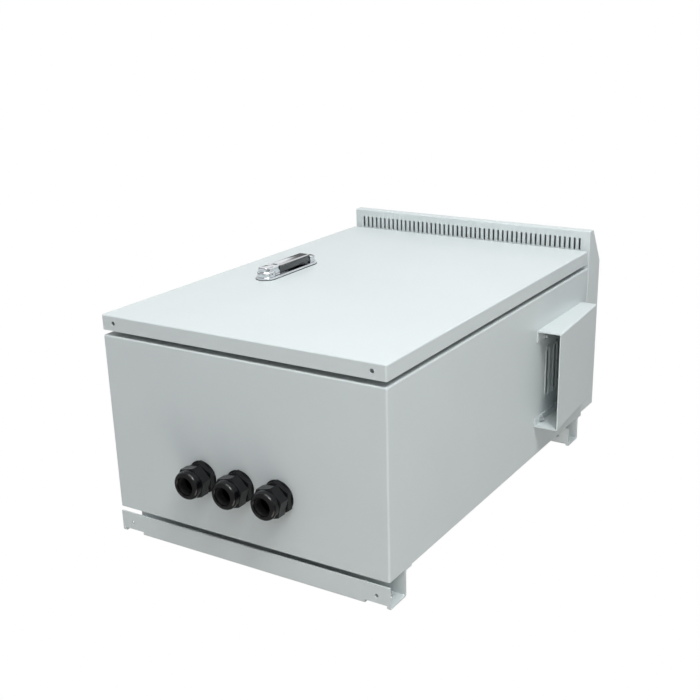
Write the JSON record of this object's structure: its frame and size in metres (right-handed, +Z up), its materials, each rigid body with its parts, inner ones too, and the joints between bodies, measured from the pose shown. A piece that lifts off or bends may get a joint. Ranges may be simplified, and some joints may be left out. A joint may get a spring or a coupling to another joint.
{
  "type": "roadside utility cabinet",
  "caption": "Grey steel wall or pole cabinet with a hinged lever-locked door, slotted top hood, side rain hood over vents, cable glands below and two rear mounting rails.",
  "frame": {"origin": "centre of the four wall slots, on the wall plane that the two rear rails lie against", "axes": "+Z up towards the hood, -Y out of the door, +X to the right of someone facing the door, the hinge side"},
  "size_m": [0.4343, 0.3186, 0.6654],
  "materials": {
    "grey_paint": "fine-textured semi-matt powder coat",
    "zinc_plate": "zinc plated, satin",
    "steel_mesh": "fine woven wire",
    "brass": "plain turned",
    "chrome": "bright, smooth",
    "black_rubber": "matt",
    "black_nylon": "glossy moulded nylon",
    "fan_plastic": "matt glass-filled plastic"
  },
  "bodies": {
    "cabinet": {"body_wrap": "grey_paint", "back_panel": "grey_paint", "top_hood": "grey_paint", "side_hood": "grey_paint", "lower_rail": "grey_paint", "upper_rail": "grey_paint", "hood_bolts": "zinc_plate", "hood_nuts": "zinc_plate", "side_hood_studs": "zinc_plate", "side_hood_nuts": "zinc_plate", "vent_studs": "zinc_plate", "vent_nuts": "zinc_plate", "vent_frame": "zinc_plate", "rail_bolts": "zinc_plate", "rail_nuts": "zinc_plate", "hinge_bracket_1": "zinc_plate", "hinge_bracket_2": "zinc_plate", "fan_screws": "zinc_plate", "fan_nuts": "zinc_plate", "mounting_plate": "zinc_plate", "plate_studs": "zinc_plate", "plate_nuts": "zinc_plate", "fan_guard": "zinc_plate", "vent_mesh": "steel_mesh", "earth_stud": "brass", "earth_nut": "brass", "gland_1_washer": "black_rubber", "gland_2_washer": "black_rubber", "gland_3_washer": "black_rubber", "gland_1_seal": "black_rubber", "gland_2_seal": "black_rubber", "gland_3_seal": "black_rubber", "gland_1_body": "black_nylon", "gland_1_cap": "black_nylon", "gland_1_locknut": "black_nylon", "gland_2_body": "black_nylon", "gland_2_cap": "black_nylon", "gland_2_locknut": "black_nylon", "gland_3_body": "black_nylon", "gland_3_cap": "black_nylon", "gland_3_locknut": "black_nylon", "fan_frame": "fan_plastic"},
    "door": {"door": "grey_paint", "door_gasket": "black_rubber", "hinge_leaf_1": "zinc_plate", "hinge_leaf_2": "zinc_plate", "hinge_pin_1": "zinc_plate", "hinge_pin_2": "zinc_plate", "lock_gasket": "black_rubber", "lock_base": "chrome", "lock_nut": "zinc_plate"},
    "lock_head": {"lock_head": "chrome", "lock_cam": "zinc_plate", "cam_screw": "zinc_plate"},
    "lever": {"lock_lever": "chrome", "lever_pin": "chrome"},
    "button": {"lock_button": "chrome"},
    "fan_rotor": {"fan_rotor": "fan_plastic"}
  },
  "joints": [
    {"name": "door_hinge", "type": "hinge", "parent": "cabinet", "child": "door", "pos_m": [0.192, -0.281, 0], "axis": [0, 0, 1], "range_deg": [0, 100]},
    {"name": "lock_turn", "type": "hinge", "parent": "door", "child": "lock_head", "pos_m": [-0.124, -0.2918, -0.056], "axis": [0, 1, 0], "range_deg": [0, 90]},
    {"name": "lever_lift", "type": "hinge", "parent": "lock_head", "child": "lever", "pos_m": [-0.124, -0.3031, -0.038], "axis": [1, 0, 0], "range_deg": [0, 30]},
    {"name": "button_press", "type": "slide", "parent": "lock_head", "child": "button", "axis": [0, 1, 0], "range_m": [0, 0.002], "stiffness_N_per_m": 400},
    {"name": "fan_spin", "type": "hinge", "parent": "cabinet", "child": "fan_rotor", "pos_m": [0, -0.1502, 0.2715], "axis": [0, 0, 1], "continuous": true}
  ]
}
